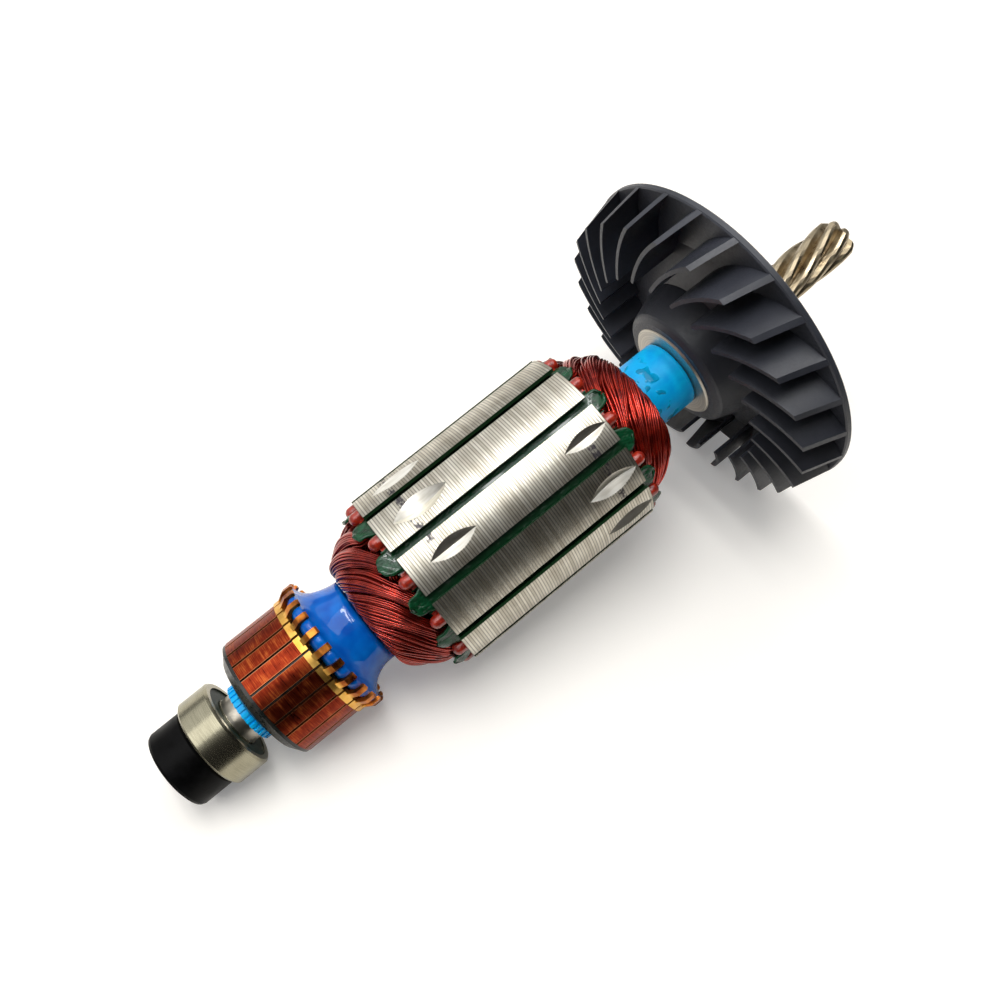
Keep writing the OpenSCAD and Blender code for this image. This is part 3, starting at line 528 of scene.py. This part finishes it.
def bent_strip(bm, degrees):
    """Adds one strip in its slot, with a tongue past each end of the core."""
    lo, hi = -CORE_HALF - FRONT_REACH, CORE_HALF + BACK_REACH
    grid = bmesh.ops.create_grid(bm, x_segments=96, y_segments=8, size=1.0)["verts"]
    bends = {end: [strip_rnd.uniform(-1, 1) for _ in range(5)] for end in (-1, 1)}
    for vert in grid:
        z = (lo + hi) / 2 + vert.co.x * (hi - lo) / 2
        across = vert.co.y
        end = 1 if z > 0 else -1
        tip = hi if end > 0 else -lo
        past = max(0.0, abs(z) - CORE_HALF)
        share = past / (tip - CORE_HALF)
        round_part = max(0.0, abs(z) - (tip - STRIP_HALF_W)) / STRIP_HALF_W
        width = STRIP_HALF_W * math.sqrt(max(0.004, 1 - round_part ** 2))
        lift, curl, twist, wave, pinch = bends[end]
        width *= 1 - (0.1 + 0.22 * abs(pinch)) * math.sin(math.pi * min(1, share * 1.15))
        rise = share * (0.35 * lift + (0.25 + 0.3 * curl) * across ** 2 + 0.3 * twist * across)
        rise += share * 0.22 * math.sin(3.1 * across + 2.4 * wave + 2.2 * past)
        y = across * width
        r = STRIP_R + rise
        vert.co = Vector((r, y, z))
    turn = Matrix.Rotation(math.radians(degrees), 3, "Z")
    bmesh.ops.rotate(bm, verts=grid, cent=(0, 0, 0), matrix=turn)
    faces = list({face for vert in grid for face in vert.link_faces})
    bmesh.ops.recalc_face_normals(bm, faces=faces)
    bmesh.ops.solidify(bm, geom=faces, thickness=STRIP_T)


# %% All twelve strips
strips = bmesh.new()
for i in range(12):
    bent_strip(strips, 7.5 + 30 * i)
bmesh.ops.recalc_face_normals(strips, faces=strips.faces)
strips.transform(SHAFT)
strips_mesh = bpy.data.meshes.new("strips")
strips.to_mesh(strips_mesh)
strips.free()
place_piece(strips_mesh, "bent_slot_strips", pressboard,
            replaces=["slot_strips"])
print("strips:", len(strips_mesh.polygons), "faces")

# %% [markdown]
# ## Wound wire
# Each coil leaves a slot, sweeps over the end of the core to its nose and dives under
# its neighbours into the slot five places back. The CAD has each coil as one smooth
# bundle. Here every bundle is laid again as separate wires: a curve with a round bevel
# for each wire is the short way, since a wire is a path with a thickness. Four layers of
# thin wires make the bundle, which twists a little on its way, and a few thick strands
# inside close the gaps.

# %% Enamelled copper: clear red-brown enamel over copper, varnished; painted light at the fan's end, painted shade at the commutator's
enamel = finish("Enamelled copper wire, varnished", Metallic=0.85, Roughness=0.2,
                Coat_Weight=0.45, Coat_Roughness=0.06)
here = about_shaft(enamel)
patch = add(enamel, "TexNoise", {"Vector": here["point"], "Scale": 0.45, "Detail": 2.0})
# One enamel is given two colours here: the duller brown-red at the commutator's end is painted
# shade, and the brighter red at the fan's end is painted light.
front_end_painted_shade = add(enamel, "ValToRGB", {0: patch}, stops=((0.3, "7A1A12"), (0.7, "B83A2A")))
back_end_painted_light = add(enamel, "ValToRGB", {0: patch}, stops=((0.3, "84160E"), (0.7, "CC3A26")))
towards_painted_light = add(enamel, "MapRange", {0: here["z"], 1: -5.0, 2: 5.0})
colour = add(enamel, "Mix", {0: towards_painted_light, 6: front_end_painted_shade, 7: back_end_painted_light}, out=2, data_type="RGBA")
join(enamel, Base_Color=colour)

# %% The middle line of a coil, as in the CAD
CORE_END = 20.3
OUTER_R, INNER_R, NOSE_R = 13.85, 10.85, 7.25
LEAD, HEAD = 1.9, 10.6
COIL_SPAN = 150.0
KNOTS = ((0, 1), (0.44, 0.80), (0.86, 0.45), (0.80, 0), (0.36, 0.2), (0, 0.53))


def blend(q, table):
    """The value of an evenly spaced table at share q."""
    x = q * (len(table) - 1)
    i = min(int(x), len(table) - 2)
    return table[i] + (table[i + 1] - table[i]) * (x - i)


def knot(i):
    """Height over the core's end and radius at one knot."""
    last = len(KNOTS) - 1
    rise, share = KNOTS[min(max(i, 0), last)]
    if i < 0 or i > last:
        rise = -0.3
    if i >= last:
        share = (INNER_R - NOSE_R) / (OUTER_R - NOSE_R)
    height = LEAD + rise * (HEAD - 1.05 - LEAD) / 0.9
    return Vector((height, NOSE_R + share * (OUTER_R - NOSE_R)))


def head_line(q):
    """Smooth line through the knots: height over the core's end, and radius."""
    x = q * (len(KNOTS) - 1)
    i = min(int(x), len(KNOTS) - 2)
    f = x - i
    a, b, c, d = knot(i - 1), knot(i), knot(i + 1), knot(i + 2)
    return 0.5 * (2 * b + (c - a) * f + (2 * a - 5 * b + 4 * c - d) * f * f
                  + (3 * b - a - 3 * c + d) * f ** 3)


# %% Directions across and out of a coil
def head_point(q, end, turn):
    """A point of the middle line, on the fan's end (+1) or the commutator's (-1)."""
    m = head_line(min(max(q, 0), 1))
    return polar(m.y, turn - COIL_SPAN * q, end * (CORE_END + m.x))


def head_frame(q, end, turn):
    """Point, way across and way out of a coil at share q of its head."""
    way = (head_point(q + 0.01, end, turn) - head_point(q - 0.01, end, turn)).normalized()
    m = head_line(min(q + 0.01, 1)) - head_line(max(q - 0.01, 0))
    n = Vector((-m.y, m.x)).normalized()
    out = polar(n.y, turn - COIL_SPAN * q, end * n.x)
    out = (out - out.dot(way) * way).normalized()
    return head_point(q, end, turn), way.cross(out), out


# %% One coil as a ribbon of wires
WIRE_R = 0.22
THICK = 2.7
HALF_W = (1.3, 1.5, 2.15, 2.1, 1.6, 1.2, 1.0, 0.9, 0.85, 0.8)
HALF_D = (1.5, 1.4, 1.3, 1.1, 1.05, 1.0, 1.1, 1.2, 1.2, 1.2)
LAYERS = ((8, 1.0), (9, 0.5), (7, -0.95), (5, -0.2))
UNEVEN = (-0.28, 0.1)
steps = 30
stations = [(k / steps, 1) for k in range(steps + 1)]
stations += [(k / steps, -1) for k in range(steps, -1, -1)]


def lay_wire(curve, frames, across, out, size, drift, twist):
    """Adds one closed wire, which turns with its bundle and sways a little in it."""
    spline = curve.splines.new("NURBS")
    spline.points.add(len(frames) - 1)
    for k, ((q, end), (here, w, o)) in enumerate(zip(stations, frames)):
        flat = across + drift[0] * math.sin(drift[1] * q * end + drift[2])
        high = out * math.sqrt(max(1.12 - across ** 2, 0.1))
        c, s = math.cos(twist * (q - 0.5)), math.sin(twist * (q - 0.5))
        x = (flat * c - high * s) * max(blend(q, HALF_W) - WIRE_R * size, 0.05)
        y = (flat * s + high * c) * max(blend(q, HALF_D) - WIRE_R * size, 0.05)
        spline.points[k].co = (SHAFT @ (here + w * x + o * y)).to_4d()
        spline.points[k].radius = size
    spline.use_cyclic_u = True
    spline.order_u = 3
    spline.resolution_u = 2


def wound_coil(i):
    """One coil as a mesh of closed wires."""
    rnd = random.Random(40 + i)
    turn = 7.5 + 30 * i
    frames = [head_frame(q, end, turn) for q, end in stations]
    curve = bpy.data.curves.new("coil", "CURVE")
    curve.dimensions = "3D"
    curve.bevel_depth = WIRE_R * MM
    curve.bevel_resolution = 1
    curve.use_fill_caps = False
    twist = rnd.uniform(0.8, 1.5)
    for count, out in LAYERS:
        for w in range(count):
            across = 2 * (w + 0.5) / count - 1 + rnd.uniform(-0.05, 0.05)
            lift = out + rnd.uniform(*UNEVEN)
            drift = rnd.uniform(0.05, 0.2), rnd.uniform(3, 8), rnd.uniform(0, 6.28)
            lay_wire(curve, frames, across, lift, 1.0, drift, twist)
    for across in (-0.55, 0.0, 0.55):
        lay_wire(curve, frames, across, 0.0, THICK, (0, 0, 0), twist)
    carrier = bpy.data.objects.new("carrier", curve)
    bpy.context.scene.collection.objects.link(carrier)
    bpy.context.view_layer.update()
    solid = carrier.evaluated_get(bpy.context.evaluated_depsgraph_get())
    mesh = bpy.data.meshes.new_from_object(solid)
    bpy.data.objects.remove(carrier)
    return mesh


# %% Put the coils in place of the CAD's bundles
triangles = 0
for i in range(12):
    piece = place_piece(wound_coil(i), "wound_coil_%02d" % (i + 1), enamel,
                        replaces=["coil_%02d" % (i + 1)])
    triangles += 2 * len(piece.data.polygons)
print("coils wound: 12, about", triangles, "triangles")

# %% [markdown]
# ## Table
# The table is a pale, matt board. It keeps the armature's soft shadow. Straight to the
# camera it adds a little glow, so that the board reads as white without more light on
# the armature, and bright metal shows part of that glow too.

# %% Board, matt white
GLOW = 0.22
GLOSSY_SHARE = 0.25
board = finish("Coated board, matt white", Base_Color="F2EEE7", Roughness=0.95)
fleck = add(board, "TexNoise", {"Vector": add(board, "TexCoord", out=3), "Scale": 900.0})
relief = add(board, "Bump", {"Height": fleck, "Distance": 0.01 * MM})
join(board, Normal=relief)
rays = add(board, "LightPath").node.outputs
in_metal = add(board, "Math", {0: rays["Is Glossy Ray"], 1: GLOSSY_SHARE}, operation="MULTIPLY")
seen = add(board, "Math", {0: rays["Is Camera Ray"], 1: in_metal}, operation="ADD")
seen = add(board, "Math", {0: seen, 1: rays["Is Transmission Ray"]}, operation="ADD")
glow = add(board, "Math", {0: seen, 1: GLOW}, operation="MULTIPLY")
join(board, Emission_Strength=glow)
board.node_tree.nodes["Principled BSDF"].inputs["Emission Color"].default_value = (1, 1, 1, 1)

grid = bmesh.new()
bmesh.ops.create_grid(grid, x_segments=2, y_segments=2, size=2.0)
sheet = bpy.data.meshes.new("table")
grid.to_mesh(sheet)
grid.free()
sheet.materials.append(board)
table = bpy.data.objects.new("table", sheet)
bpy.context.scene.collection.objects.link(table)

# %% [markdown]
# ## Camera
# The camera looks down on the armature from a hand's breadth and a half, leans to the side
# of the lower tooth, and is rolled so that the shaft climbs across the picture. Its place
# and its three directions are given about the shaft, so it follows if the armature lies
# otherwise.

# %% Camera above the core
up = -down
LEAN = math.radians(23.8)
EYE_ALONG, EYE_HEIGHT = -18.43, 163.4
FOCAL_SHARE = 0.9165
towards = math.cos(LEAN) * up - math.sin(LEAN) * side
sideways = -math.sin(LEAN) * up - math.cos(LEAN) * side


def shaft_view(x, t, z):
    """A direction along the shaft, sideways in the view, and towards the viewer."""
    return x * along + t * sideways + z * towards


eye = centre + shaft_view(EYE_ALONG, 0, EYE_HEIGHT) * MM
s_way = shaft_view(0.99331, 0.0, 0.11552)
t_way = shaft_view(0.00098, 0.99996, -0.00847)
look = shaft_view(0.11551, -0.00852, -0.99327)
right = 0.77894783 * s_way + 0.62708873 * t_way
right = (right - right.dot(look) * look).normalized()
upward = right.cross(look).normalized()
camera = bpy.data.objects.new("camera", bpy.data.cameras.new("camera"))
camera.data.sensor_width = 36
camera.data.lens = 36 * FOCAL_SHARE
camera.data.clip_start = 0.01
turn = Matrix((right, upward, -look)).transposed().to_4x4()
camera.matrix_world = Matrix.Translation(eye) @ turn
bpy.context.scene.collection.objects.link(camera)
bpy.context.scene.camera = camera
print("camera", [round(v, 3) for v in eye])

# %% [markdown]
# ## Light
# One broad softbox hangs over the table and a little behind it, so every tooth of the
# core carries one wide band of light. A second one, lower and further back, lifts the far
# teeth. Two thin tubes across the shaft draw the glints on wire, resin and copper. A dark
# card stands on the other side, as in many product studios, and gives the metal its dark
# flank. The room itself stays dim.

# %% Softboxes and a dark card
MIDDLE_H = 0.02
TUBE_Y, TUBE_H = 0.06, 0.62
CARD_Y, CARD_HALF_H = -0.17, 0.175


def softbox(name, place, target, width, height, glow):
    """A rectangular lamp that faces a target and looks as bright as glow."""
    light = bpy.data.lights.new(name, "AREA")
    light.shape = "RECTANGLE"
    light.size, light.size_y = width, height
    light.energy = glow * math.pi * width * height
    lamp = bpy.data.objects.new(name, light)
    facing = (Vector(place) - Vector(target)).to_track_quat("Z", "Y")
    lamp.matrix_world = Matrix.Translation(place) @ facing.to_matrix().to_4x4()
    bpy.context.scene.collection.objects.link(lamp)


def overhead(name, lean, half_width, glow):
    """A long softbox along the shaft, given by how it looks from the armature."""
    reach, length = 0.62, 1.2
    a = math.radians(lean)
    width = 2 * reach * math.tan(math.radians(half_width))
    softbox(name, (0, reach * math.sin(a), MIDDLE_H + reach * math.cos(a)), (0, 0, MIDDLE_H),
            length, width, glow)


overhead("key", 8.0, 21.0, 2.1)
overhead("back_panel", 53.0, 22.0, 0.75)
for x in (-0.05, 0.02):
    softbox("tube", (x, TUBE_Y, TUBE_H), (x, TUBE_Y, 0), 0.02, 0.45, 22)

card = bmesh.new()
bmesh.ops.create_grid(card, x_segments=2, y_segments=2, size=0.5)
upright = Matrix.Rotation(math.pi / 2, 3, "X")
bmesh.ops.rotate(card, verts=card.verts, cent=(0, 0, 0), matrix=upright)
bmesh.ops.scale(card, verts=card.verts, vec=(1.4, 1, 2 * CARD_HALF_H))
bmesh.ops.translate(card, verts=card.verts, vec=(0, CARD_Y, CARD_HALF_H))
card_mesh = bpy.data.meshes.new("dark_card")
card.to_mesh(card_mesh)
card.free()
card_mesh.materials.append(finish("Black card", Base_Color="141414", Roughness=1.0))
dark_card = bpy.data.objects.new("dark_card", card_mesh)
dark_card.visible_camera = False
bpy.context.scene.collection.objects.link(dark_card)

# %% Room
ROOM_GLOW = 0.25
room = bpy.data.worlds.new("studio")
room.use_nodes = True
sky = room.node_tree.nodes["Background"]
sky.inputs[0].default_value = (1, 1, 1, 1)
rays = add(room, "LightPath").node.outputs
strength = add(room, "MapRange", {0: rays["Is Camera Ray"], 3: ROOM_GLOW, 4: 1.0})
room.node_tree.links.new(strength, sky.inputs[1])
bpy.context.scene.world = room
bpy.context.scene.view_settings.view_transform = "Standard"
